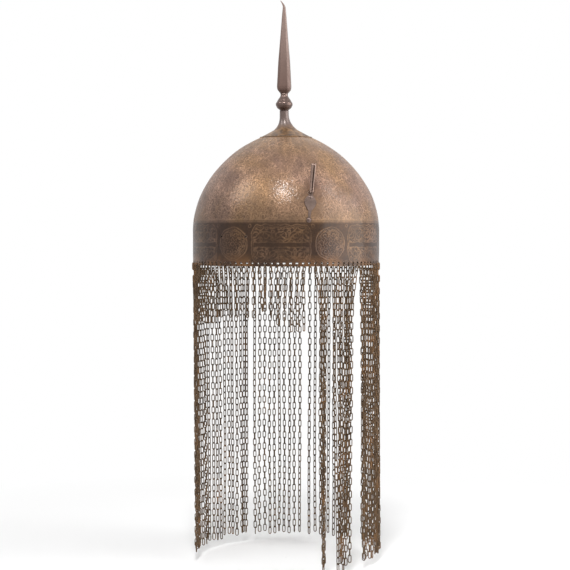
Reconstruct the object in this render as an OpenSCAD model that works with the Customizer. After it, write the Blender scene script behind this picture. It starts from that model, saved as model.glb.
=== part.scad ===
// Kulah khud: a steel dome helmet with a four-sided spike, a plume socket and a curtain of hanging chains.
// Millimetres. The origin is the centre of the opening, on the plane of the rim. Up is +Z, the brow faces -Y.

/* [Bowl] */
// Outer radius of the bowl at its rim
rim_r = 100; // [92:1:108]
// Height of the upright wall, up to where the dome turns in
wall_h = 36; // [32:1:40]
// Radius of the shoulder's arc, in a section through the axis
shoulder_r = 94; // [90:1:98]
// Angle that the shoulder turns before the flatter crown takes over
shoulder_turn = 28; // [25:1:31]
// Radius of the crown's arc, in a section through the axis
crown_r = 124; // [118:1:130]
// Thickness of the steel sheet
sheet = 1.6; // [1.3:0.1:1.7]

/* [Finial] */
// Radius of the flared foot where it meets the dome
foot_r = 27.6; // [24:0.2:30]
// Radius of the foot's upright stem
stem_r = 4.7; // [4.2:0.1:5.2]
// Length of the foot, from the dome's top to the knop
foot_h = 22.2; // [20:0.2:26]
// Widest radius of the turned knop
knop_r = 8.9; // [8:0.1:10]
// Height of the turned knop
knop_h = 19; // [17:0.5:22]
// Length of the blade above the knop
blade_l = 98; // [80:1:110]
// Half width of the blade's flats at their widest
blade_half = 7.2; // [6:0.1:8]
// How far the blade's bent tip leans over
tip_lean = 4; // [2:0.5:5]
// Angle of the blade's broad face from the brow, around the axis
blade_turn = 25; // [0:5:45]
// Radius of the tang that runs down through the knop, the foot and the bowl
tang_r = 1.8; // [1.5:0.1:1.8]

/* [Plume socket] */
// Angle of each plume socket from the brow, around the axis
plume_turn = 48; // [44:1:54]
// Lean of the socket toward the back of the head
plume_cant = 8; // [0:1:10]
// Outer radius of the rolled tube at its mouth
tube_r = 2.6; // [2.4:0.1:3]
// Length of the rolled tube
tube_l = 30; // [26:1:34]
// Bore radius of the rolled tube
tube_bore_r = 1.9; // [1.6:0.1:2]
// Thickness of the shield plate under the tube
plate_t = 1; // [0.8:0.1:1.2]

/* [Brow holes] */
// Distance between the two holes that held the lost nasal bracket
brow_gap = 30.6; // [26:0.2:34]
// Height of those holes above the rim
brow_hole_z = 30.5; // [26:0.5:34]
// Radius of those holes
brow_hole_r = 1.2; // [1:0.1:1.5]

/* [Chain curtain] */
// Number of holes round the rim, one for each ring
rim_holes = 96; // [84:12:96]
// Holes from one modelled chain to the next
holes_a_chain = 3; // [3, 4, 6]
// Diameter of the wire
wire = 1; // [0.9:0.05:1.1]
// Outer length of a link
link_l = 8.9; // [8.5:0.1:9.4]
// Outer width of a link
link_w = 4; // [4:0.1:4.5]
// Play between two links where they seat
play = 0.15; // [0.1:0.01:0.2]
// Links in each long chain, below its rim ring
long_links = 45; // [30:1:46]
// Links in each short chain that leaves the face open, below its rim ring
short_links = 8; // [4:1:12]
// Angle of the face opening, around the axis
face_turn = 90; // [60:15:120]

/* [Hidden] */
chains = rim_holes/holes_a_chain;
chain_turn = 360/chains;
rigid = ["bowl", "finial_foot", "finial_knop", "spike", "tang_washer",
         "plume_plate", "plume_tube", "plume_rivets", "rim_rings"];
$fn = 48;
fine = 360;
steel = [0.42, 0.33, 0.28];
dark_steel = [0.34, 0.27, 0.24];
warm_steel = [0.50, 0.38, 0.26];
chain_brown = [0.30, 0.22, 0.15];
reach = 400;

// The dome's section: the centres of its two arcs, and the height of its surface at a radius.
shoulder_c = [rim_r - shoulder_r, wall_h];
crown_c = shoulder_c + (shoulder_r - crown_r)*[cos(shoulder_turn), sin(shoulder_turn)];
function crown_z(r) = crown_c.y + sqrt(pow(crown_r, 2) - pow(r - crown_c.x, 2));
function shoulder_lean(z) = asin((z - wall_h)/shoulder_r);
function shoulder_at(z) = shoulder_c.x + shoulder_r*cos(shoulder_lean(z));

// The finial's levels
apex_z = crown_z(0);
knop_z = apex_z + foot_h;
blade_z = knop_z + knop_h;
flare_r = 20;
flare_top = 4.6;
neck_r = 3.8;
clear = 0.1;

// The plume socket's places on the shoulder: heights, and distances up the plate from its middle
plate_z = 65;
rivets_up = [6, -18.5];
tube_low = 75;
tube_floor = 3;
tube_lean = 5;
seam = 0.9;
rivet_r = 1.1;
rivet_head_r = 2;
rivet_head_h = 0.9;

// The washer under the tang's head
washer_r = 8;
washer_edge = 1.2;
inner_apex = crown_c.y + sqrt(pow(crown_r - sheet, 2) - pow(washer_r - crown_c.x, 2));
washer_z = inner_apex - washer_edge;

// The rim holes and the rings that hang in them
hole_r = 1.3;
hole_z = 3.2;
ring_r = rim_r - sheet/2;
ring_top = hole_z - hole_r + wire/2 + clear;
bar_gap = link_l - wire;
pitch = bar_gap - wire - play;
pivot_z = ring_top - pitch;

// The filled half section of the dome, grown outward by grow and run on below the rim by low
module half_section(grow = 0, low = 0) {
  ray = [cos(shoulder_turn), sin(shoulder_turn)];
  translate([0, -low]) square([rim_r + grow, wall_h + low]);
  intersection() {
    translate(shoulder_c) circle(r = shoulder_r + grow, $fn = fine);
    translate([0, wall_h]) square(reach);
  }
  intersection() {
    translate(crown_c) circle(r = crown_r + grow, $fn = fine);
    polygon([crown_c - crown_c.x/ray.x*ray, crown_c + reach*ray, [0, reach]]);
  }
}

// A layer over the dome, from grow inner to grow outer
module dome_layer(inner, outer) {
  rotate_extrude() difference() {
    half_section(outer, 0);
    half_section(inner, 1);
  }
}

// Height and angle of a place up the canted plate from its middle
function up_plate(up) = [plate_z + up*cos(plume_cant)*cos(shoulder_lean(plate_z)),
                         plume_turn + up*sin(plume_cant)/shoulder_at(plate_z)*180/PI];

// Puts its children at a height on the shoulder, with +Z along the surface's normal and +Y up the dome
module on_shoulder(z, turn) {
  rotate([0, 0, turn]) translate([0, -shoulder_at(z), z])
    rotate([90 - shoulder_lean(z), 0, 0]) children();
}

// The holes for one plume socket's rivets, on the left side of the head or mirrored to the right
module rivet_holes(side) {
  for (up = rivets_up) on_shoulder(up_plate(up)[0], side*up_plate(up)[1])
    cylinder(r = rivet_r, h = 6*sheet, center = true);
}

module bowl() color(steel) difference() {
  rotate_extrude() difference() {
    half_section(0, 0);
    half_section(-sheet, 1);
  }
  cylinder(r = tang_r + clear, h = reach);
  for (k = [0 : rim_holes - 1])
    rotate([0, 0, (k + 0.5)*360/rim_holes]) translate([0, -ring_r, hole_z])
      rotate([90, 0, 0]) cylinder(r = hole_r, h = 4*sheet, center = true);
  for (x = [-1, 1]) translate([x*brow_gap/2, -rim_r, brow_hole_z])
    rotate([90, 0, 0]) cylinder(r = brow_hole_r, h = 20, center = true);
  for (side = [-1, 1]) rivet_holes(side);
}

// The flared foot: a shallow cone that a concave arc turns up into the stem
module finial_foot() color(warm_steel) difference() {
  edge_z = crown_z(foot_r) + 0.8;
  arc_top = knop_z - flare_top;
  rotate_extrude() difference() {
    polygon(concat([[0, 0], [foot_r, 0], [foot_r, edge_z], [0.7*foot_r, edge_z + 4.1]],
      [for (a = [56 : -8 : 0]) [stem_r + flare_r*(1 - cos(a)), arc_top - flare_r*sin(a)]],
      [[stem_r, knop_z], [0, knop_z]]));
    half_section(0, 1);
  }
  cylinder(r = tang_r + clear, h = reach);
}

// The turned knop: two cones that a round bead joins at the widest place, under a narrow neck
module finial_knop() color(dark_steel) difference() {
  bead = 3.6;
  widest = 0.37*knop_h;
  rotate_extrude() translate([0, knop_z]) {
    polygon([[0, 0], [stem_r, 0], [1.04*stem_r, 0.07*knop_h], [0.85*knop_r, 0.2*knop_h],
             [0.93*knop_r, 0.26*knop_h], [0.93*knop_r, 0.49*knop_h], [1.12*neck_r, 0.83*knop_h],
             [neck_r, 0.89*knop_h], [neck_r, 0.95*knop_h], [1.1*neck_r, knop_h], [0, knop_h]]);
    translate([knop_r - bead, widest]) circle(r = bead);
  }
  cylinder(r = tang_r + clear, h = reach);
}

// Levels of the blade: shares of its length, of its half width and of the tip's lean
blade_levels = [[0, 0.56, 0], [0.02, 0.78, 0], [0.04, 0.95, 0], [0.07, 1, 0], [0.34, 0.82, 0], [0.63, 0.51, 0],
                [0.83, 0.31, 0], [0.93, 0.19, 0.05], [0.965, 0.13, 0.35], [1, 0.07, 1]];
corner_cut = 0.39;

// The blade's section at one level: a square whose corners are cut off
function blade_ring(level) = [for (a = [0 : 90 : 270], s = [corner_cut - 1, 1 - corner_cut])
  [blade_half*level[1]*(cos(a) - s*sin(a)) - tip_lean*level[2],
   blade_half*level[1]*(sin(a) + s*cos(a)), blade_l*level[0]]];

// The blade: four broad faces with the edges between them cut off, and a tang headed over the washer
module spike() color(dark_steel) {
  sides = 8;
  last = len(blade_levels) - 1;
  translate([0, 0, blade_z]) rotate([0, 0, blade_turn]) polyhedron(
    [for (level = blade_levels) each blade_ring(level)],
    concat([[for (k = [0 : sides - 1]) k]], [[for (k = [sides - 1 : -1 : 0]) last*sides + k]],
      [for (n = [0 : last - 1], k = [0 : sides - 1])
        [n*sides + k, (n + 1)*sides + k, (n + 1)*sides + (k + 1)%sides, n*sides + (k + 1)%sides]]));
  translate([0, 0, washer_z]) cylinder(r = tang_r, h = blade_z - washer_z + 5);
  translate([0, 0, washer_z - 1.4]) cylinder(r = 1.6*tang_r, h = 1.4);
}

// The washer, whose upper side is shaped to the inside of the crown
module tang_washer() color(steel) difference() {
  rotate_extrude() intersection() {
    half_section(-sheet, 0);
    translate([0, washer_z]) square([washer_r, reach]);
  }
  cylinder(r = tang_r + clear, h = reach);
}

// The shield plate with its tail, bent to the dome
module plume_plate() color(dark_steel) difference() {
  intersection() {
    dome_layer(0, plate_t);
    on_shoulder(plate_z, plume_turn) rotate([0, 0, -plume_cant]) {
      linear_extrude(height = 30, center = true)
        polygon([[-6.6, 1], [-4.6, 5], [-2.2, 8], [-2.2, 13.2], [2.2, 13.2], [2.2, 8], [4.6, 5], [6.6, 1],
                 [5, -4], [1.6, -9], [1.2, -16.5], [-1.2, -16.5], [-1.6, -9], [-5, -4]]);
      translate([0, rivets_up[1]]) cylinder(r = 2.6, h = 30, center = true);
    }
  }
  rivet_holes(1);
}

// The rolled tube stands off the dome on the plate's tab, with its seam open to the front
module plume_tube() color(dark_steel) difference() {
  rotate([0, 0, up_plate(10)[1]]) translate([0, -shoulder_at(tube_low) - plate_t - 0.7*tube_r, tube_low])
    rotate([0, tube_lean, 0]) difference() {
      cylinder(r = tube_r, h = tube_l);
      translate([0, 0, tube_floor]) cylinder(r = tube_bore_r, h = tube_l);
      translate([0, -tube_r, tube_l/2 + tube_floor]) cube([seam, 2*tube_r, tube_l], center = true);
    }
  rotate_extrude() half_section(plate_t, 1);
}

// Round-headed rivets through the shield plate and the bowl, with flat heads inside
module plume_rivets() color(steel) for (up = rivets_up) on_shoulder(up_plate(up)[0], up_plate(up)[1]) {
  grip = sheet + plate_t;
  cap_r = (pow(rivet_head_r, 2) + pow(rivet_head_h, 2))/(2*rivet_head_h);
  translate([0, 0, -sheet]) cylinder(r = rivet_r, h = grip);
  rotate_extrude() intersection() {
    translate([0, plate_t + rivet_head_h - cap_r]) circle(r = cap_r);
    translate([0, plate_t]) square(rivet_head_r);
  }
  translate([0, 0, -sheet - 0.8]) cylinder(r = rivet_head_r, h = 0.75);
  translate([0, 0, -sheet - 0.2]) cylinder(r = rivet_r, h = 0.3);
}

// One round wire of a link, cut to a mitre at both ends: along Z, a distance out from the middle
module mitred_bar(out, half, side) {
  intersection() {
    translate([side*out, 0, -half - wire/2]) cylinder(d = wire, h = 2*half + wire);
    rotate([90, 0, 0]) linear_extrude(height = 2*wire, center = true)
      polygon([[side*(out - wire), half - wire], [side*(out + wire), half + wire],
               [side*(out + wire), -half - wire], [side*(out - wire), wire - half]]);
  }
}

// One closed link of round wire in the XZ plane, with its upper bar's centre at the origin
module link() {
  side_out = (link_w - wire)/2;
  end_out = bar_gap/2;
  translate([0, 0, -end_out]) for (s = [-1, 1]) {
    mitred_bar(side_out, end_out, s);
    rotate([0, 90, 0]) mitred_bar(end_out, side_out, s);
  }
}

// A ring in each rim hole, standing across the sheet
module rim_rings() color(chain_brown) for (k = [0 : rim_holes - 1])
  rotate([0, 0, (k + 0.5)*360/rim_holes]) translate([0, -ring_r, ring_top])
    rotate([0, 0, 90]) link();

// One hanging chain: each link turns a quarter against the one that carries it
module chain(i) color(chain_brown) {
  turn = (i - 0.5)*chain_turn;
  from_brow = min(turn, 360 - turn);
  count = from_brow < face_turn/2 ? short_links : long_links;
  rotate([0, 0, turn]) translate([0, -ring_r, pivot_z])
    for (n = [0 : count - 1]) translate([0, 0, -n*pitch]) rotate([0, 0, 90*(n % 2)]) link();
}

bowl();
finial_foot();
finial_knop();
spike();
tang_washer();
plume_plate();
plume_tube();
plume_rivets();
rim_rings();
for (i = [1 : chains]) chain(i);
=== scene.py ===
import math

import bpy
import numpy as np
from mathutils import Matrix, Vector

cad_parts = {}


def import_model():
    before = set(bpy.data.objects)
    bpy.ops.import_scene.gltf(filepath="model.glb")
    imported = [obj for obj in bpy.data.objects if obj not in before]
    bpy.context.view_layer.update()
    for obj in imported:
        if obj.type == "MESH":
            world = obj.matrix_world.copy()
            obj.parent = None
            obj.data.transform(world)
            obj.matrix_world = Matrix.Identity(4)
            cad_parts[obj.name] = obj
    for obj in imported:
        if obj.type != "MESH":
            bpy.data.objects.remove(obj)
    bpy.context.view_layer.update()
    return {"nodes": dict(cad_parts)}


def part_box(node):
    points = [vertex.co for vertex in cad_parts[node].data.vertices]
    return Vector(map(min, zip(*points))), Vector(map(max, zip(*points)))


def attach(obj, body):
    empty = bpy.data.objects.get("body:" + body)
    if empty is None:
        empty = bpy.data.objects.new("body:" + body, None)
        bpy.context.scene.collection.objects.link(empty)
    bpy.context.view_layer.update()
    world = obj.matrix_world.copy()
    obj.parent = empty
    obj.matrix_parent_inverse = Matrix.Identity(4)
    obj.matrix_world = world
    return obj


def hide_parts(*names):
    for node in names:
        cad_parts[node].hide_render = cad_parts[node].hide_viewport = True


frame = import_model()

MM = 0.001
TURN = 2*math.pi

# How far round from the brow, toward the wearer's left, the photo looks from
CAMERA_TURN = math.radians(33)

# The dome's section, as the solid has it: an upright wall, a shoulder arc and a crown arc
RIM_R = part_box("bowl")[1].x/MM
SHEET = 1.6
WALL_H = 36
SHOULDER_R = 94
SHOULDER_TURN = math.radians(28)
CROWN_R = 124
SHOULDER_C = np.array([RIM_R - SHOULDER_R, WALL_H])
CROWN_C = SHOULDER_C + (SHOULDER_R - CROWN_R)*np.array([math.cos(SHOULDER_TURN), math.sin(SHOULDER_TURN)])
SHOULDER_S = WALL_H + SHOULDER_R*SHOULDER_TURN

# Holes in the bowl: at the rim, at the brow, and for the rivets of both plume sockets
HOLES = 96
HOLE_Z = 3.2
HOLE_R = 1.3
BROW_HOLE_X = 15.3
BROW_HOLE_Z = 30.5
BROW_HOLE_R = 1.2
RIVET_R = 1.1

# Rings and links
WIRE = 1.0
LINK_L = 8.9
LINK_W = 4.0
PLAY = 0.15
CHAINS = 32
RING_R = RIM_R - SHEET/2
RING_TOP = HOLE_Z - HOLE_R + WIRE/2 + 0.1
PITCH = LINK_L - 2*WIRE - PLAY
PIVOT_Z = RING_TOP - PITCH

# The finial's levels and radii. The photo has the knop and blade a little lower than the solids do
SINK = 1.2
KNOP_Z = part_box("finial_knop")[0].z/MM - SINK
BLADE_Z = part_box("finial_knop")[1].z/MM - SINK
TIP_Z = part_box("spike")[1].z/MM
WASHER_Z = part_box("tang_washer")[0].z/MM
FOOT_R = 27.6
STEM_R = 4.9
TANG_R = 1.8

# The finial's lean to one side: how far, from how far below the knop, and over what height it sets in
LEAN = 1.95
LEAN_FROM = 25
LEAN_OVER = 22

# The plume socket on the wearer's left. Its rivets and tube stand so far up the plate from its middle
PLUME_TURN = math.radians(48)
PLUME_CANT = math.radians(8)
PLATE_Z = 65
PLATE_T = 1
RIVETS_UP = (6, -18.5)
TUBE_UP = 10
TUBE_R = 2.6
TUBE_L = 30
TUBE_Z = 75
TUBE_LEAN = math.radians(5)


def rotate_z(points, turn):
    """Points turned about the vertical axis, by one angle or by one each, in radians."""
    c, s = np.cos(turn), np.sin(turn)
    x, y, z = points[..., 0], points[..., 1], points[..., 2]
    return np.stack([c*x - s*y, s*x + c*y, z + 0*c], -1)


def mesh_piece(name, points, quads, material, tris=None, normals=None):
    """A smooth mesh object from points in millimetres, four-sided faces and perhaps triangles."""
    mesh = bpy.data.meshes.new(name)
    mesh.vertices.add(len(points))
    mesh.vertices.foreach_set("co", (np.asarray(points, np.float32)*MM).ravel())
    corners = quads.ravel() if tris is None else np.concatenate([quads.ravel(), tris.ravel()])
    starts = np.arange(len(quads))*4
    if tris is not None:
        starts = np.concatenate([starts, len(quads)*4 + np.arange(len(tris))*3])
    mesh.loops.add(len(corners))
    mesh.loops.foreach_set("vertex_index", corners.astype(np.int32))
    mesh.polygons.add(len(starts))
    mesh.polygons.foreach_set("loop_start", starts.astype(np.int32))
    mesh.polygons.foreach_set("use_smooth", np.full(len(starts), True))
    mesh.update(calc_edges=True)
    mesh.validate()
    if normals is not None:
        mesh.normals_split_custom_set_from_vertices(normals.tolist())
    mesh.materials.append(material)
    piece = bpy.data.objects.new(name, mesh)
    bpy.context.scene.collection.objects.link(piece)
    return piece


def set_attribute(piece, name, values):
    """A number at each vertex, which the materials read."""
    attribute = piece.data.attributes.new(name, "FLOAT", "POINT")
    attribute.data.foreach_set("value", np.asarray(values, np.float32).ravel())


def grid_quads(rows, columns, closed):
    """Faces of a grid whose points run along each row first. A closed grid joins its last column to its first."""
    r, c = np.meshgrid(np.arange(rows - 1), np.arange(columns if closed else columns - 1), indexing="ij")
    d = (c + 1) % columns
    return np.stack([r*columns + c, r*columns + d, (r + 1)*columns + d, (r + 1)*columns + c], -1).reshape(-1, 4)


def lathe(profile, columns):
    """Points and faces of a profile of (radius, height) turned about the axis, from the bottom up."""
    turn = np.arange(columns)*TURN/columns
    r, z = np.array(profile, float).T
    points = np.stack([r[:, None]*np.sin(turn), -r[:, None]*np.cos(turn), z[:, None] + 0*turn], -1)
    return points.reshape(-1, 3), grid_quads(len(profile), columns, True)


# Materials

class Nodes:
    """Adds nodes to a material or world, a call for each."""

    def __init__(self, owner):
        owner.use_nodes = True
        self.nodes = owner.node_tree.nodes
        self.links = owner.node_tree.links

    def new(self, kind):
        return self.nodes.new("ShaderNode" + kind)

    def put(self, socket, value):
        """Links an output to a socket, or sets a number, vector or colour on it."""
        if hasattr(value, "is_output"):
            self.links.new(value, socket)
        elif hasattr(value, "__len__") and len(value) == 3 and socket.type == "RGBA":
            socket.default_value = (*value, 1)
        else:
            socket.default_value = value

    def span(self, value, low, high, to_low=0.0, to_high=1.0):
        """A value's range from low to high mapped onto another, and held at its ends."""
        node = self.new("MapRange")
        for name, v in (("Value", value), ("From Min", low), ("From Max", high),
                        ("To Min", to_low), ("To Max", to_high)):
            self.put(node.inputs[name], v)
        return node.outputs["Result"]

    def math(self, kind, a, b):
        node = self.new("Math")
        node.operation = kind
        self.put(node.inputs[0], a)
        self.put(node.inputs[1], b)
        return node.outputs[0]

    def along(self, vector, direction):
        """How far a vector reaches in a direction."""
        node = self.new("VectorMath")
        node.operation = "DOT_PRODUCT"
        self.put(node.inputs[0], vector)
        self.put(node.inputs[1], direction)
        return node.outputs["Value"]

    def up(self, vector):
        node = self.new("SeparateXYZ")
        self.put(node.inputs[0], vector)
        return node.outputs["Z"]

    def shows_background(self):
        """1 for the rays that show the plain white background, and 0 for those that only carry light."""
        path = self.new("LightPath")
        seen = self.math("MAXIMUM", path.outputs["Is Camera Ray"], path.outputs["Is Glossy Ray"])
        return self.math("MAXIMUM", seen, path.outputs["Is Transmission Ray"])


class Paint(Nodes):
    """One material, painted by place on the object."""

    def __init__(self, name):
        self.material = bpy.data.materials.new(name)
        super().__init__(self.material)
        self.surface = self.nodes["Principled BSDF"]
        self.place = self.new("TexCoord").outputs["Object"]

    def noise(self, scale, detail=4, rough=0.55, distort=0.0, stretch=None):
        place = self.place
        if stretch:
            mapping = self.new("Mapping")
            self.put(mapping.inputs["Vector"], place)
            mapping.inputs["Scale"].default_value = stretch
            place = mapping.outputs["Vector"]
        node = self.new("TexNoise")
        for name, v in (("Vector", place), ("Scale", scale), ("Detail", detail),
                        ("Roughness", rough), ("Distortion", distort)):
            self.put(node.inputs[name], v)
        return node.outputs["Fac"]

    def cells(self, scale):
        node = self.new("TexVoronoi")
        self.put(node.inputs["Vector"], self.place)
        node.inputs["Scale"].default_value = scale
        return node.outputs["Distance"]

    def value(self, attribute):
        node = self.new("Attribute")
        node.attribute_name = attribute
        return node.outputs["Fac"]

    def height(self):
        return self.up(self.place)

    def mix(self, share, a, b, kind="MIX"):
        node = self.new("Mix")
        node.data_type = "RGBA"
        node.blend_type = kind
        self.put(node.inputs["Factor"], share)
        self.put(node.inputs[6], a)
        self.put(node.inputs[7], b)
        return node.outputs[2]

    def tint(self, colour, by):
        return self.mix(1.0, colour, by, "MULTIPLY")

    def finish(self, colour, rough, metal, bump, strength, depth, specular=0.5, coat=0.0, coat_rough=0.2):
        self.put(self.surface.inputs["Base Color"], colour)
        self.put(self.surface.inputs["Roughness"], rough)
        self.put(self.surface.inputs["Metallic"], metal)
        self.surface.inputs["Specular IOR Level"].default_value = specular
        self.surface.inputs["Coat Weight"].default_value = coat
        self.surface.inputs["Coat Roughness"].default_value = coat_rough
        node = self.new("Bump")
        node.inputs["Strength"].default_value = strength
        node.inputs["Distance"].default_value = depth
        self.put(node.inputs["Height"], bump)
        self.put(self.surface.inputs["Normal"], node.outputs["Normal"])
        return self.material


# The dome's colours, the mauve patches' first and the ochre ones' second
GROUND = (0.125, 0.070, 0.051), (0.150, 0.083, 0.042)
STROKE = (0.430, 0.270, 0.198), (0.440, 0.265, 0.143)
RUBBED = (0.330, 0.203, 0.120)
# Painted shade: the darker colour given to the lower dome just above the band
SHOULDER_SHADE = (0.075, 0.045, 0.028)
# Painted shade: the darker colour given to the band toward the rim
RIM_SHADE = (0.045, 0.026, 0.016)
RIM_RUST = (0.170, 0.078, 0.028)
BAND_GROUND_TINT = (0.36, 0.305, 0.25)
BAND_STROKE_TINT = (0.47, 0.44, 0.41)
DOME_TINT = (1.02, 0.995, 0.95)


def etched_material():
    """Patinated steel: pale worn strokes on a dark etched ground, mauve and ochre patches, rust at the rim, and
    painted shade low on the dome and at the rim.
    """
    p = Paint("etched_steel_look")
    patch = p.math("ADD", p.noise(13, 3, 0.5, 0.6), p.span(p.height(), 0.085, 0.135, 0.0, 0.14))
    patch = p.span(patch, 0.44, 0.64)
    ground, stroke = p.mix(patch, *GROUND), p.mix(patch, *STROKE)
    worn = p.span(p.noise(34, 5, 0.65, 0.5), 0.38, 0.62, 0.3, 1.0)
    etch = p.math("MULTIPLY", p.value("etch"), worn)

    upper = p.mix(p.math("ADD", etch, 0.12), ground, stroke)
    upper = p.mix(p.span(p.noise(9, 2, 0.5, 0.3), 0.55, 0.72, 0.0, 0.55), upper, RUBBED)
    # painted shade on the lower dome, strongest at the band and gone by the upper dome
    upper = p.mix(p.span(p.height(), 0.046, 0.088, 0.40, 0.0), upper, SHOULDER_SHADE)

    etch = p.math("MULTIPLY", etch, p.span(p.noise(52, 4, 0.6, 0.6), 0.32, 0.60, 0.4, 1.0))
    lower = p.mix(etch, p.tint(ground, BAND_GROUND_TINT), p.tint(stroke, BAND_STROKE_TINT))
    # painted shade on the band, darkest at the rim
    lower = p.mix(p.span(p.height(), 0.004, 0.028, 0.30, 0.0), lower, RIM_SHADE)
    colour = p.mix(p.value("band"), upper, lower)

    fine = p.noise(420, 3)
    coarse = p.span(p.noise(38, 4, 0.6, 0.8), 0.32, 0.68, 0.80, 1.16)
    mottle = p.math("MULTIPLY", p.span(fine, 0.3, 0.7, 0.64, 0.97), coarse)
    colour = p.tint(colour, p.mix(mottle, (0, 0, 0), DOME_TINT))
    low = p.span(p.height(), 0.001, 0.014, 1.0, 0.0)
    rust = p.math("MULTIPLY", low, p.span(p.noise(38, 4), 0.42, 0.62))
    colour = p.mix(rust, colour, RIM_RUST)

    rough = p.span(p.noise(60, 4), 0.3, 0.7, 0.46, 0.60)
    metal = p.span(p.height(), 0.036, 0.080, 0.62, 0.45)
    grain = p.math("ADD", fine, p.noise(1500, 2))
    return p.finish(colour, rough, metal, grain, 0.25, 0.00012, specular=0.2, coat=0.33, coat_rough=0.18)


def plain_steel(name, dark, light, rough, metal, streak=None, top=None, rise=(0.1445, 0.1515), top_rough=None,
                pitted=0.2, grain=55):
    """Bare steel in two shades with fine pits, and perhaps another shade and finish above the heights of a rise."""
    p = Paint(name)
    share = p.span(p.noise(grain, 5, 0.6, 0.8, streak), 0.35, 0.68)
    colour = p.mix(share, dark, light)
    higher = p.span(p.height(), *rise)
    if top:
        colour = p.mix(higher, colour, top)
    pits = p.span(p.cells(900), 0.05, 0.35, 0.0, 1.0)
    colour = p.mix(p.span(pits, 0, 1, 1.25*pitted, 0.0), colour, tuple(0.35*v for v in dark))
    roughness = p.span(p.noise(180, 4), 0.3, 0.7, rough - 0.08, rough + 0.1)
    if top_rough:
        roughness = p.span(higher, 0, 1, roughness, top_rough)
    return p.finish(colour, roughness, metal, p.math("ADD", pits, p.noise(700, 4)), pitted, 0.0001)


def chain_material():
    """Old iron wire: brown skin, orange rust that is thickest on one side of the curtain, and dark hollows."""
    p = Paint("chain_iron_look")
    colour = p.mix(p.span(p.noise(90, 4), 0.35, 0.65), (0.075, 0.046, 0.026), (0.165, 0.104, 0.058))
    aside = p.along(p.place, (math.cos(CAMERA_TURN), math.sin(CAMERA_TURN), 0))
    damp = p.math("ADD", p.noise(40, 3, 0.5, 0.5), p.span(aside, 0.06, 0.098, 0.0, 0.06))
    colour = p.mix(p.span(damp, 0.57, 0.74), colour, (0.220, 0.112, 0.046))
    colour = p.mix(p.span(p.noise(1400, 2), 0.45, 0.75, 0.0, 0.5), colour, (0.045, 0.027, 0.017))
    rough = p.span(p.noise(300, 3), 0.3, 0.7, 0.42, 0.66)
    return p.finish(colour, rough, 0.5, p.noise(1600, 3), 0.5, 0.00015, specular=0.25)


ETCHED = etched_material()
FOOT_STEEL = plain_steel("warm_steel_look", (0.042, 0.020, 0.008), (0.240, 0.132, 0.058), 0.46, 0.25,
                         top=(0.125, 0.088, 0.076), top_rough=0.31, pitted=0.1, grain=150)
KNOP_STEEL = plain_steel("polished_steel_look", (0.095, 0.062, 0.052), (0.175, 0.122, 0.105), 0.31, 0.7,
                         pitted=0.02)
SPIKE_STEEL = plain_steel("dark_steel_look", (0.078, 0.041, 0.031), (0.142, 0.083, 0.065), 0.50, 0.3,
                          streak=(1, 1, 0.35), top=(0.200, 0.137, 0.116), rise=(0.185, 0.255))
SOCKET_STEEL = plain_steel("socket_steel_look", (0.090, 0.060, 0.049), (0.175, 0.120, 0.098), 0.34, 0.6)
TUBE_STEEL = plain_steel("tube_steel_look", (0.185, 0.124, 0.100), (0.330, 0.228, 0.186), 0.30, 0.7)
INSIDE_STEEL = plain_steel("bare_steel_look", (0.120, 0.078, 0.056), (0.215, 0.145, 0.105), 0.5, 0.65)
CHAIN_IRON = chain_material()


# The dome's surface and holes

def dome_at(s):
    """Radius, height and lean of the dome's surface, at distances s up its outline from the rim."""
    on_crown = s > SHOULDER_S
    lean = np.where(on_crown, SHOULDER_TURN + (s - SHOULDER_S)/CROWN_R, np.maximum((s - WALL_H)/SHOULDER_R, 0))
    arc_r = np.where(on_crown, CROWN_R, SHOULDER_R)
    r = np.where(on_crown, CROWN_C[0], SHOULDER_C[0]) + arc_r*np.cos(lean)
    z = np.where(on_crown, CROWN_C[1], SHOULDER_C[1]) + arc_r*np.sin(lean)
    return r, np.where(s < WALL_H, s, z), lean


def shoulder_at(height):
    """Radius and lean of the wall or shoulder at a height."""
    lean = math.asin(max(height - WALL_H, 0)/SHOULDER_R)
    return SHOULDER_C[0] + SHOULDER_R*math.cos(lean), lean


def hole_turn(hole):
    """The angle of a rim hole from the brow."""
    return (hole + 0.5)*TURN/HOLES


def up_plate(up):
    """Height and angle of a place up the canted plume plate from its middle."""
    r, lean = shoulder_at(PLATE_Z)
    return PLATE_Z + up*math.cos(PLUME_CANT)*math.cos(lean), PLUME_TURN + up*math.sin(PLUME_CANT)/r


def holes_in_bowl():
    """The centre and radius of each hole: the rim's, the brow's and the plume sockets' rivet holes."""
    for hole in range(HOLES):
        turn = hole_turn(hole)
        yield np.array([RIM_R*math.sin(turn), -RIM_R*math.cos(turn), HOLE_Z]), HOLE_R
    for side in (-1, 1):
        brow_y = -math.sqrt(RIM_R**2 - BROW_HOLE_X**2)
        yield np.array([side*BROW_HOLE_X, brow_y, BROW_HOLE_Z]), BROW_HOLE_R
        for up in RIVETS_UP:
            height, turn = up_plate(up)
            r, _ = shoulder_at(height)
            yield np.array([r*math.sin(side*turn), -r*math.cos(side*turn), height]), RIVET_R


# The ornament

def line(distance, width):
    """1 within a line's width, and 0 outside it, with soft edges."""
    soft = 0.35
    return np.clip((width/2 + soft/2 - np.abs(distance))/soft, 0, 1)


def spiral(x, y, step, width, turn, hand, reach):
    """A leafy spiral tendril round a point: its turns lie a step apart and bear small leaves on their outer side."""
    rho = np.hypot(x, y)
    phi = np.arctan2(y*hand, x) + turn
    wind = rho/step - phi/TURN
    off = (wind - np.round(wind))*step
    leaf = np.clip(np.sin(phi*6 + rho*2.2), 0, 1)**2
    vine = line(off, width)
    leaves = line(off - 0.9*width - 0.5*width*leaf, 1.5*width*leaf)*(leaf > 0.15)
    return np.maximum(vine, leaves)*(rho < reach)*(rho > 0.3*step)


# A cell's height to its width
ROW_SHARE = 0.88


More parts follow.
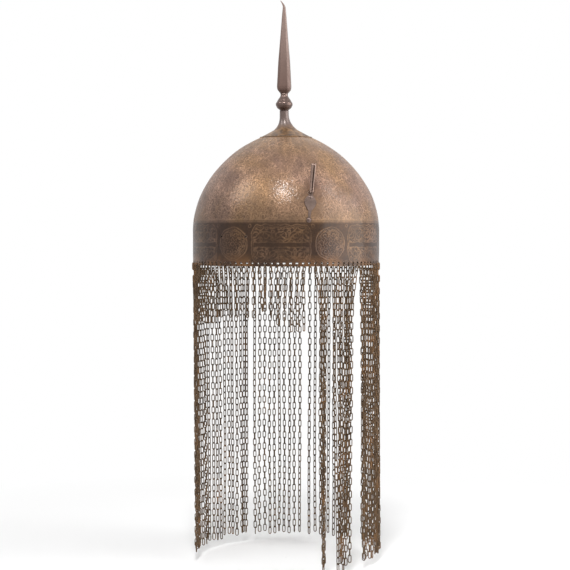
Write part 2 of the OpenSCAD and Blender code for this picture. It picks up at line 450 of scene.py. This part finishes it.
def tile(x, y, cell, salt):
    """Places in the cells of a grid whose odd rows are shifted by half a cell, and three random numbers each."""
    cell_h = ROW_SHARE*cell
    row = np.round(y/cell_h)
    shift = (row % 2)*0.5
    column = np.round(x/cell - shift)
    seed = np.sin(row*127.1 + column*311.7 + salt)*43758.5453
    pick = [np.modf(np.abs(seed*k))[0] for k in (1, 7.13, 3.71)]
    return x - (column + shift)*cell, y - row*cell_h, pick


def scrollwork(x, y, cell, salt, bold):
    """A field of spiral tendrils, one to a cell, with a three-leaved bud in each hollow between them."""
    a, b, pick = tile(x, y, cell, salt)
    hand = np.where(pick[0] > 0.5, 1, -1)
    step = (0.24 + 0.05*pick[2])*cell
    swell = bold*(1 + 0.35*np.sin(1.9*x/cell*TURN + 3*pick[0]) + 0.25*np.sin(2.3*y/cell*TURN))
    field = spiral(a, b, step, swell*cell, pick[1]*TURN, hand, 0.50*cell)
    c, d = a - np.sign(a)*0.5*cell, b - np.sign(b)*0.30*cell
    spin = np.arctan2(d, c)
    bud = np.hypot(c, d) - cell*(0.075 + 0.05*np.abs(np.cos(1.5*spin)))
    return np.maximum(field, line(bud, bold*cell))


def by_hand(theta, s, size):
    """The small shifts of a drawing done by hand, in millimetres along and up, which close round the dome."""
    bend = 1.8*np.sin(13*theta + s/8)
    along = np.sin(37*theta + s/2.9 + bend) + 0.6*np.sin(71*theta - s/1.7 - bend)
    up = np.sin(43*theta - s/2.3 - bend) + 0.6*np.sin(s/1.3 + 29*theta + bend)
    return size*along, size*up


def round_box(x, y, half_w, half_h, corner):
    """Distance to the outline of a box with round corners, below 0 inside it."""
    a, b = np.abs(x) - half_w + corner, np.abs(y) - half_h + corner
    return np.hypot(np.maximum(a, 0), np.maximum(b, 0)) + np.minimum(np.maximum(a, b), 0) - corner


BAND_TOP = 47.5
BAND_MID = 23
PANELS = 6
PANEL_W = TURN*RIM_R/PANELS
# Half a panel's width and height, and the radius of its corners
PANEL_HALF = 31.0, 19.2
PANEL_CORNER = 9.0
# A panel's upper and lower rows: their middles, how far along their scrolls are moved, and the scrolls' cells
ROW_Y = 8.6, -10.6
ROW_ALONG = 2, 8
BAND_CELL = 12.4
# The bar between the rows: its middle, and how far its edge lines lie from that
BAR_Y = -1
BAR_HALF = 2.6
# The medallion's radius, and its rosette's: the whole, its petals and their number, and its heart
MEDAL_R = 16.8
ROSETTE_R = 7.4
PETAL_R = 5.2
PETALS = 8
HEART_R = 2.2
# The strokes' width as a share of a cell's, in the band and above it
BAND_BOLD = 0.1
UPPER_BOLD = 0.085


def medallion(x, y):
    """A round medallion: scrolls with a rosette in their middle, in a double frame."""
    rho = np.hypot(x, y)
    frame_off = rho - MEDAL_R
    petals = rho - PETAL_R - 1.3*np.cos(PETALS*np.arctan2(y, x))
    inside = scrollwork(x + 1.5, y, 9.2, 3, BAND_BOLD)*(rho > ROSETTE_R)
    for off in (petals, rho - HEART_R):
        inside = np.maximum(inside, line(off, 0.8))
    result = np.where(frame_off < -2.2, inside, 0)
    for off, width in ((0, 1.2), (-1.9, 0.5)):
        result = np.maximum(result, line(frame_off - off, width))
    return result


def band_ornament(x, y, shift):
    """The band: a medallion at the brow and after each sixth of a turn, and long panels in two rows between."""
    salt = np.round(x/PANEL_W - 0.5)
    x = (x/PANEL_W - np.round(x/PANEL_W))*PANEL_W + shift[0]
    y = y - BAND_MID + shift[1]
    result = medallion(x, y)
    x = np.abs(x) - PANEL_W/2
    panel = round_box(x, y, *PANEL_HALF, PANEL_CORNER) + 0.5*np.cos(x*TURN/10.3)
    upper = y > BAR_Y
    row = y - np.where(upper, *ROW_Y)
    scrolls = scrollwork(x + np.where(upper, *ROW_ALONG), row, BAND_CELL, 11 + salt, BAND_BOLD)
    stem = row - 3.6*np.sin(x*TURN/(2*BAND_CELL) + np.where(upper, 0, 2) + salt)
    scrolls = np.maximum(scrolls, line(stem, 1.5 + 0.6*np.sin(x*TURN/7)))
    bar = np.abs(y - BAR_Y) < BAR_HALF - 0.1
    result = np.where(panel < -2.6, np.where(bar, 0, scrolls), result)
    for off in (-BAR_HALF, BAR_HALF):
        result = np.maximum(result, line(y - BAR_Y - off, 0.8)*(panel < -2.2))
    for off, width in ((0, 1.1), (-1.9, 0.55)):
        result = np.maximum(result, line(panel - off, width))
    corner = np.hypot(np.abs(x) - PANEL_W/2 + 19.5, np.abs(y) - 18.5) - 1.6
    return np.maximum(result, line(corner, 0.8))


# The width of the cells above the band
UPPER_CELL = 8.4
# The plain strip along the band's top: from how far below that to how far above, and its height as a stroke's share
STRIP = -3.4, 0.9
STRIP_ETCH = 0.25
# The worn patch round each plume socket: its middle, the dome's radius there, and half its width and height
WORN_TURN = PLUME_TURN + 0.045
WORN_S = 72
WORN_R = 95
WORN_HALF = 11, 24


def ornament(theta, s):
    """Height of the etched ornament at places on the dome, from 0 on the ground to 1 on a stroke."""
    x = (theta + math.pi) % TURN - math.pi
    band = band_ornament(x*RIM_R, s, by_hand(x, s, 0.3))
    row_h = ROW_SHARE*UPPER_CELL
    height = s - BAND_TOP - 0.5*row_h
    row_r, _, _ = dome_at(BAND_TOP + np.round(height/row_h)*row_h)
    cells = np.maximum(np.round(TURN*row_r/UPPER_CELL), 6)
    shift = by_hand(x, s, 0.8)
    upper = scrollwork(x/TURN*cells*UPPER_CELL + shift[0], height + shift[1], UPPER_CELL, 17, UPPER_BOLD)
    result = np.where(s < BAND_TOP + STRIP[0], band, np.where(s > BAND_TOP + STRIP[1], upper, STRIP_ETCH))
    for level, width in ((BAND_TOP, 0.8), (BAND_TOP - 1.9, 0.4), (1.0, 0.6)):
        result = np.maximum(result, line(s - level, width))
    worn = np.hypot((np.abs(x) - WORN_TURN)*WORN_R/WORN_HALF[0], (s - WORN_S)/WORN_HALF[1])
    return result*np.clip((s - 0.6)/0.8, 0, 1)*np.clip(2.4*worn - 1.6, 0.15, 1)


# The etched skins: their height above the solid bowl, their ornament's relief, and the margin round a hole
SKIN_LIFT = 0.13
RELIEF = 0.12
HOLE_MARGIN = 0.25


def dome_skin(name, theta, s):
    """One sheet of the dome's etched surface, which lies on the solid bowl, with gaps at the bowl's holes."""
    grid_t, grid_s = np.meshgrid(theta, s)
    r, z, lean = dome_at(grid_s)
    etch = ornament(grid_t, grid_s)
    dents = 0.06*np.sin(grid_t*11 + grid_s*0.13) + 0.05*np.sin(grid_t*23 - grid_s*0.21 + 1)
    lift = SKIN_LIFT + dents + RELIEF*etch
    r, z = r + lift*np.cos(lean), z + lift*np.sin(lean)
    points = np.stack([r*np.sin(grid_t), -r*np.cos(grid_t), z], -1)
    normals = np.cross(np.gradient(points, axis=1), np.gradient(points, axis=0))
    normals /= np.linalg.norm(normals, axis=-1, keepdims=True)
    quads = grid_quads(len(s), len(theta), False)
    flat = points.reshape(-1, 3)
    middle = flat[quads].mean(1)
    keep = np.ones(len(quads), bool)
    for centre, radius in holes_in_bowl():
        keep &= np.linalg.norm(middle - centre, axis=1) > radius + HOLE_MARGIN
    piece = mesh_piece(name, flat, quads[keep], ETCHED, normals=normals.reshape(-1, 3))
    set_attribute(piece, "etch", etch)
    set_attribute(piece, "band", np.clip((BAND_TOP + 1 - grid_s)/5, 0, 1))
    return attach(piece, "helmet")


def dome_skins():
    """The band in two halves and the dome above it in three parts, so that no mesh is too large."""
    step = 0.55
    columns = 12*HOLES
    theta = np.arange(columns + 1)*TURN/columns
    rim_edge, seam, under_foot = 0.35, BAND_TOP + 1.5, FOOT_R - 0.8
    top = SHOULDER_S + CROWN_R*(math.acos((under_foot - CROWN_C[0])/CROWN_R) - SHOULDER_TURN)
    band_s = np.linspace(rim_edge, seam, int(BAND_TOP/step))
    upper_s = np.linspace(seam, top, int((top - BAND_TOP)/step))
    for name, s, parts in (("band", band_s, 2), ("dome", upper_s, 3)):
        for k in range(parts):
            first, last = k*columns//parts, (k + 1)*columns//parts
            dome_skin(f"etched_{name}_{k + 1}", theta[first:last + 1], s)


# Chains and rings

def link_template(around):
    """One round-wire link in the XZ plane, whose upper bar's centre is at the origin."""
    a, b = (LINK_L - WIRE)/2, (LINK_W - WIRE)/2
    turn = np.linspace(0, math.pi, 7)
    path = [(b*math.cos(t), a - b + b*math.sin(t)) for t in turn]
    path += [(-b, (a - b)*k) for k in (0.33, -0.33)]
    path += [(-b*math.cos(t), -(a - b) - b*math.sin(t)) for t in turn]
    path += [(b, (a - b)*k) for k in (-0.33, 0.33)]
    path = np.array(path)
    tangent = np.roll(path, -1, 0) - np.roll(path, 1, 0)
    tangent /= np.linalg.norm(tangent, axis=1, keepdims=True)
    out = np.stack([tangent[:, 1], -tangent[:, 0]], -1)
    spin = np.arange(around)*TURN/around
    x = path[:, None, 0] + WIRE/2*np.cos(spin)*out[:, None, 0]
    z = path[:, None, 1] + WIRE/2*np.cos(spin)*out[:, None, 1] - a
    y = WIRE/2*np.sin(spin) + 0*x
    points = np.stack([x, y, z], -1).reshape(-1, 3)
    count = len(path)
    quads = grid_quads(count + 1, around, True) % (count*around)
    return points, quads[:, ::-1]


# Where chains cling together: rim hole, millimetres aside a little below the rim, millimetres more at the foot
DRIFT = [(3, 1, 0), (4, 4, 0), (5, 0, 0), (10, 1, 0), (12, 1, 0), (13, 6.4, 2), (14, 1.6, 2), (15, -1.6, -2),
         (16, 0.7, 6), (18, -2.1, 0), (20, -5, -3), (21, -8, -3), (22, 1.5, 4), (24, 0, 2), (28, 0, 0), (40, 0, 0),
         (41, -3, 0), (43, 5.5, 2), (45, 0, 0), (47, 2.3, 1), (48, 3, 0), (50, 0.5, 0), (52, 0.8, 0), (53, 6, 0),
         (56, 4, 0), (59, 1.3, 0), (62, -0.5, 0), (63, 2, 1), (65, -2, -1), (67, -3.5, 0), (69, -5.5, 0),
         (70, -3, 0), (71, -5, 0), (73, -1, 0), (76, 0, 0), (92, 0, 0)]
LOST = (12, 42)
# The short chains' links, from the wearer's right to the left of the brow
SHORT_LINKS = [8, 8, 8, 8, 8, 8, 8, 8, 7, 7, 6, 7, 7, 6, 7, 7, 6, 6, 7, 8, 8, 9, 9, 9]
# The long chains' links, and about how far down they reach
LONG_LINKS = 45
LONG_L = 300
# Where the curtain hangs in toward the axis: degrees round from the brow, how wide the place is, and how deep
INWARD_AT = 285
INWARD_WIDTH = 34
INWARD_BY = 3.6


def links_at(hole, rng):
    """How many links hang from a rim hole: short chains over the face, and long ones all round."""
    if hole in LOST:
        return 0
    place = (hole + len(SHORT_LINKS)//2) % HOLES
    if place < len(SHORT_LINKS):
        return SHORT_LINKS[place]
    return LONG_LINKS + 1 if 13 <= hole <= 20 and rng.random() < 0.5 else LONG_LINKS


def inward(hole):
    """Millimetres that a chain's foot drifts toward the axis, most at the wearer's right."""
    off = (INWARD_AT - math.degrees(hole_turn(hole)) + 180) % 360 - 180
    return INWARD_BY*math.exp(-(off/INWARD_WIDTH)**2)


def strand(hole, links, drop, rng):
    """The links of one hanging chain: turned a quarter each, with a twist, a drift to one side and small flaws."""
    template, quads = link_template(8)
    n = np.arange(links + 1)
    size = rng.uniform(0.988, 1.004)
    depth = n*PITCH*size
    share = depth/LONG_L
    # nearly half of the chains hang turned at random, the others almost straight from their rings
    twist = rng.uniform(0, TURN) if rng.random() < 0.45 else rng.normal(0, 0.3)
    twist = twist*np.clip(n/6, 0, 1) + rng.normal(0, 0.7)*n/LONG_LINKS + rng.normal(0, 0.12, links + 1)
    sway = 0.4*np.sin(depth/rng.uniform(30, 60) + rng.uniform(0, TURN))*np.clip(depth/40, 0, 1)
    holes, near, foot = zip(*DRIFT)
    side = np.interp(hole, holes, near)*np.clip(depth/55, 0, 1)**0.6 + np.interp(hole, holes, foot)*share + sway
    out = rng.normal(0, 1.0)*share - inward(hole)*share**0.6
    path = np.stack([side, -RING_R - out, PIVOT_Z - drop - depth], -1)
    down = np.diff(path, axis=0)
    down /= np.linalg.norm(down, axis=1, keepdims=True)
    parts = []
    for k in range(links):
        scale = np.array([rng.normal(1, 0.03), 1, size])
        p = rotate_z(template*scale, (k % 2)*math.pi/2 + twist[k])
        p = p + np.outer(-p[:, 2], down[k]*(1, 1, 0))
        parts.append(p + path[k])
    points = rotate_z(np.concatenate(parts), hole_turn(hole))
    faces = (quads[None] + (np.arange(links)*len(template))[:, None, None]).reshape(-1, 4)
    return points, faces


def ring_drops():
    """Millimetres that each rim ring is longer than the shortest, all within the links' play."""
    return np.random.default_rng(5).uniform(0, PLAY, HOLES)


def chain_strands():
    """Three strands ride on each hinged chain body, from its own rim hole and its neighbours' holes."""
    rng = np.random.default_rng(11)
    drops = ring_drops()
    per_body = HOLES//CHAINS
    for i in range(1, CHAINS + 1):
        points, faces, count = [], [], 0
        for hole in range((i - 1)*per_body, i*per_body):
            links = links_at(hole, rng)
            if links == 0:
                continue
            p, f = strand(hole, links, drops[hole], rng)
            points.append(p)
            faces.append(f + count)
            count += len(p)
        piece = mesh_piece(f"strands_{i}", np.concatenate(points), np.concatenate(faces), CHAIN_IRON)
        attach(piece, f"chain_{i}")
        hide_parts(f"chain_{i}")


def rings():
    """A ring in each rim hole, round the rim's edge."""
    rng = np.random.default_rng(6)
    template, quads = link_template(10)
    points, faces = [], []
    for k, drop in enumerate(ring_drops()):
        longer = 1 + drop/(LINK_L - WIRE)
        p = rotate_z(template*(1, 1, longer), math.pi/2 + rng.normal(0, 0.06)) + (0, -RING_R, RING_TOP)
        points.append(rotate_z(p, hole_turn(k)))
        faces.append(quads + k*len(template))
    piece = mesh_piece("rim_ring_set", np.concatenate(points), np.concatenate(faces), CHAIN_IRON)
    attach(piece, "helmet")
    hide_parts("rim_rings")


# Finial

def arc_points(centre, radius, first, last, count):
    """Points of an arc in a profile, between two angles in degrees."""
    turn = np.radians(np.linspace(first, last, count))
    return [(centre[0] + radius*math.cos(t), centre[1] + radius*math.sin(t)) for t in turn]


def leaned(points):
    """Points of the finial, which above its foot's flare has been knocked a little to one side."""
    rise = np.clip((points[:, 2] - KNOP_Z + LEAN_FROM)/LEAN_OVER, 0, 1)
    off = -LEAN*rise*rise*(3 - 2*rise)
    return points + np.stack([off*math.cos(CAMERA_TURN), off*math.sin(CAMERA_TURN), 0*off], -1)


def finial_foot():
    """The flared foot: a thin lip, a shallow flare, and a concave arc up into the stem."""
    seat = CROWN_C[1] + math.sqrt(CROWN_R**2 - (FOOT_R - CROWN_C[0])**2)
    lip = [(FOOT_R - 0.9, seat - 0.3), (FOOT_R + 0.5, seat - 0.1), (FOOT_R + 0.75, seat + 0.3),
           (FOOT_R + 0.45, seat + 0.85), (FOOT_R - 1.2, seat + 1.15)]
    flare_r = 20
    flare = arc_points((STEM_R + flare_r, KNOP_Z - 4.6), flare_r, 180 + 56, 180, 22)
    knots = np.array([lip[-1], (0.86*FOOT_R, seat + 2.5), (0.7*FOOT_R, seat + 4.75), flare[0]])
    t = np.linspace(0.15, 2.9, 14)
    slope = list(zip(np.interp(t, range(4), knots[:, 0]), np.interp(t, range(4), knots[:, 1])))
    stem = [(STEM_R - 0.05, KNOP_Z - 3), (STEM_R - 0.1, KNOP_Z - 1), (STEM_R + 0.1, KNOP_Z)]
    points, quads = lathe(lip + slope + flare + stem, 144)
    piece = mesh_piece("flared_foot", leaned(points), quads, FOOT_STEEL)
    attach(piece, "helmet")
    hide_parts("finial_foot")


def finial_knop():
    """The turned knop: a double cone with a round bead at its waist and a neck under the blade."""
    z, h = KNOP_Z, BLADE_Z - KNOP_Z
    wide, bead = 9.1, 3.7
    profile = [(3.4, z - 0.2), (4.5, z), (4.72, z + 0.8), (5.3, z + 1.4), (6.9, z + 2.5), (7.9, z + 3.6)]
    profile += arc_points((wide - bead, z + 0.37*h), bead, -36, 48, 13)
    profile += [(7.1, z + 0.6*h), (6.35, z + 0.66*h), (5.55, z + 0.72*h), (4.8, z + 0.775*h), (4.2, z + 0.83*h),
                (3.95, z + 0.88*h), (3.9, z + 0.92*h), (4.2, z + h), (3.0, z + h + 0.3)]
    points, quads = lathe(profile, 96)
    piece = mesh_piece("turned_knop", leaned(points), quads, KNOP_STEEL)
    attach(piece, "helmet")
    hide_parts("finial_knop")


def spike_blade():
    """The blade: four broad faces and four narrow ones between them, from a rounded foot up to a hooked tip."""
    # half its width, how much of that is cut off each corner, and how far the tip hooks over
    half, cut, hooked = 7.2, 0.39, 4
    # how far up the blade, and its width there as a share of the widest
    levels = [(0, 0.56), (0.01, 0.67), (0.02, 0.78), (0.032, 0.9), (0.048, 0.97), (0.07, 1), (0.34, 0.82),
              (0.63, 0.51), (0.83, 0.31), (0.93, 0.19), (0.965, 0.13), (0.99, 0.08), (1, 0.03)]
    at, size = np.array(levels).T
    t = np.unique(np.concatenate([at, np.linspace(0, 1, 61), np.linspace(0.92, 1, 15)]))
    width = np.interp(t, at, size)*half
    hook = hooked*np.clip((t - 0.925)/0.075, 0, 1)**1.5
    section = []
    for k in range(4):
        turn = k*math.pi/2
        for s in (cut - 1, cut - 0.93, -0.3, 0.3, 0.93 - cut, 1 - cut, 1.04 - cut, 1.10 - cut):
            x, y = (1, s) if abs(s) <= 1 - cut else (2 - s - cut, s)
            section.append((x*math.cos(turn) - y*math.sin(turn), x*math.sin(turn) + y*math.cos(turn)))
    section = np.array(section)
    columns = len(section)
    x = width[:, None]*section[:, 0] - hook[:, None]
    y = width[:, None]*section[:, 1]
    z = BLADE_Z + (TIP_Z - BLADE_Z)*t[:, None] + 0*x
    points = rotate_z(np.stack([x, y, z], -1).reshape(-1, 3), math.radians(25))
    quads = grid_quads(len(t), columns, True)
    last = len(points)
    points = np.concatenate([points, [points[-columns:].mean(0)]])
    ring = last - columns + np.arange(columns)
    tris = np.stack([ring, np.roll(ring, -1), np.full(columns, last)], -1)
    head = WASHER_Z - 1.4
    tang, tang_quads = lathe([(0.05, head), (1.45*TANG_R, head), (1.6*TANG_R, head + 0.25), (1.6*TANG_R, WASHER_Z),
                              (TANG_R, WASHER_Z), (TANG_R, BLADE_Z + 5)], 32)
    points = np.concatenate([points, tang])
    quads = np.concatenate([quads, tang_quads + last + 1])
    piece = mesh_piece("faceted_blade", leaned(points), quads, SPIKE_STEEL, tris=tris)
    weighted = piece.modifiers.new("even_faces", "WEIGHTED_NORMAL")
    weighted.weight = 90
    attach(piece, "helmet")
    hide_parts("spike")


# Plume socket

def plume_tube():
    """The rolled tube: one sheet curled round, whose two edges nearly meet in an open seam."""
    _, turn = up_plate(TUBE_UP)
    shoulder_r, _ = shoulder_at(TUBE_Z)
    stand = shoulder_r + PLATE_T + 0.7*TUBE_R
    t = np.linspace(0, 1, 25)
    outer = TUBE_R - 0.5 + 0.5*t
    seam_half = 0.42
    spin = np.linspace(seam_half, TURN - seam_half, 31)
    shell = [(1, s) for s in spin] + [(0.74, s) for s in spin[::-1]]
    ring = np.array([(k*math.sin(s), -k*math.cos(s)) for k, s in shell])
    x = outer[:, None]*ring[:, 0] + math.sin(TUBE_LEAN)*TUBE_L*t[:, None]
    y = outer[:, None]*ring[:, 1]
    z = math.cos(TUBE_LEAN)*TUBE_L*t[:, None] + 0*x
    points = rotate_z(np.stack([x, y, z], -1).reshape(-1, 3) + (0, -stand, TUBE_Z), turn)
    columns = len(ring)
    side = len(spin)
    caps = []
    for row, flip in ((0, False), (len(t) - 1, True)):
        for k in range(side - 1):
            quad = [row*columns + i for i in (k, 2*side - 1 - k, 2*side - 2 - k, k + 1)]
            caps.append(quad[::-1] if flip else quad)
    quads = np.concatenate([grid_quads(len(t), columns, True), np.array(caps)])
    piece = mesh_piece("rolled_tube", points, quads, TUBE_STEEL)
    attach(piece, "helmet")
    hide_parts("plume_tube")


def dress_frame():
    """Finishes for the solids that stay in view."""
    looks = {"bowl": INSIDE_STEEL, "tang_washer": KNOP_STEEL, "plume_plate": SOCKET_STEEL,
             "plume_rivets": KNOP_STEEL}
    for name, material in looks.items():
        for place in frame["nodes"][name].material_slots:
            place.material = material


# Stage, light and camera, in metres

FLOOR_Z = -0.318
FLOOR_R = 2.6
# Where the floor starts to fade into the surround, and where it has
FADE = 0.20, 0.62
CAMERA_AWAY = 1.7
CAMERA_Z = 0.034
AIM_Z = -0.022
VIEW_ANGLE = math.radians(20.5)
VIEW_SHIFT = -0.0018
LIT_POINT = Vector((0, 0, 0.05))
# Each light: degrees to the right of the camera, degrees up, metres away, metres across, and watts
LIGHTS = {"front_key": (-4, 51, 1.6, 0.22, 16), "left_side": (-70, 42, 1.6, 0.6, 7),
          "right_side": (76, 4, 1.5, 1.7, 34), "right_high": (74, 42, 1.6, 0.4, 4),
          "back_fill": (180, 45, 1.8, 1.4, 3)}


def pale_floor():
    """A white floor that keeps the object's shadow near it and fades into the white surround."""
    p = Paint("pale_floor_look")
    diffuse = p.new("BsdfDiffuse")
    diffuse.inputs["Color"].default_value = (0.93, 0.93, 0.93, 1)
    glow = p.new("Emission")
    p.put(glow.inputs["Strength"], p.span(p.shows_background(), 0, 1, 0.5, 1.0))
    away = p.new("VectorMath")
    away.operation = "LENGTH"
    p.put(away.inputs[0], p.place)
    blend = p.new("MixShader")
    p.put(blend.inputs[0], p.span(away.outputs["Value"], *FADE))
    p.put(blend.inputs[1], diffuse.outputs[0])
    p.put(blend.inputs[2], glow.outputs[0])
    p.put(p.nodes["Material Output"].inputs["Surface"], blend.outputs[0])
    points, quads = lathe([(FLOOR_R/MM, 0), (FADE[1]/MM, 0), (FADE[0]/MM, 0), (1, 0)], 96)
    floor = mesh_piece("floor", points, quads[:, ::-1], p.material)
    floor.location.z = FLOOR_Z


def world():
    """A white surround. As a light it is darker, most so on the camera's side, straight behind and overhead."""
    surround = bpy.data.worlds.new("white_surround")
    bpy.context.scene.world = surround
    w = Nodes(surround)
    back = w.nodes["Background"]
    back.inputs["Color"].default_value = (1, 1, 1, 1)
    way = w.new("TexCoord").outputs["Generated"]
    toward = w.along(way, (math.sin(CAMERA_TURN), -math.cos(CAMERA_TURN), 0))
    front = w.span(toward, 0.35, 0.95, 0.58, 0.24)
    behind = w.span(toward, -1.0, -0.3, 0.4, 1.0)
    above = w.span(w.up(way), 0.35, 0.85, 1.0, 0.55)
    light = w.math("MULTIPLY", w.math("MULTIPLY", front, behind), above)
    w.put(back.inputs["Strength"], w.span(w.shows_background(), 0, 1, light, 1.0))


def lights():
    """Square area lights that face the helmet."""
    for name, (turn, up, away, size, power) in LIGHTS.items():
        lamp = bpy.data.lights.new(name, "AREA")
        lamp.size = size
        lamp.energy = power
        lit = bpy.data.objects.new(name, lamp)
        a, e = CAMERA_TURN + math.radians(turn), math.radians(up)
        lit.location = LIT_POINT + away*Vector((math.sin(a)*math.cos(e), -math.cos(a)*math.cos(e), math.sin(e)))
        lit.rotation_euler = (lit.location - LIT_POINT).to_track_quat("Z", "Y").to_euler()
        bpy.context.scene.collection.objects.link(lit)


def camera():
    eye = bpy.data.cameras.new("photo_view")
    eye.angle = VIEW_ANGLE
    eye.clip_start = 0.05
    eye.shift_x = VIEW_SHIFT
    holder = bpy.data.objects.new("photo_view", eye)
    holder.location = (CAMERA_AWAY*math.sin(CAMERA_TURN), -CAMERA_AWAY*math.cos(CAMERA_TURN), CAMERA_Z)
    aim = Vector((0, 0, AIM_Z))
    holder.rotation_euler = (holder.location - aim).to_track_quat("Z", "Y").to_euler()
    bpy.context.scene.collection.objects.link(holder)
    bpy.context.scene.camera = holder


bpy.context.scene.view_settings.view_transform = "Standard"
camera()
world()
lights()
pale_floor()
dress_frame()
dome_skins()
rings()
chain_strands()
finial_foot()
finial_knop()
spike_blade()
plume_tube()
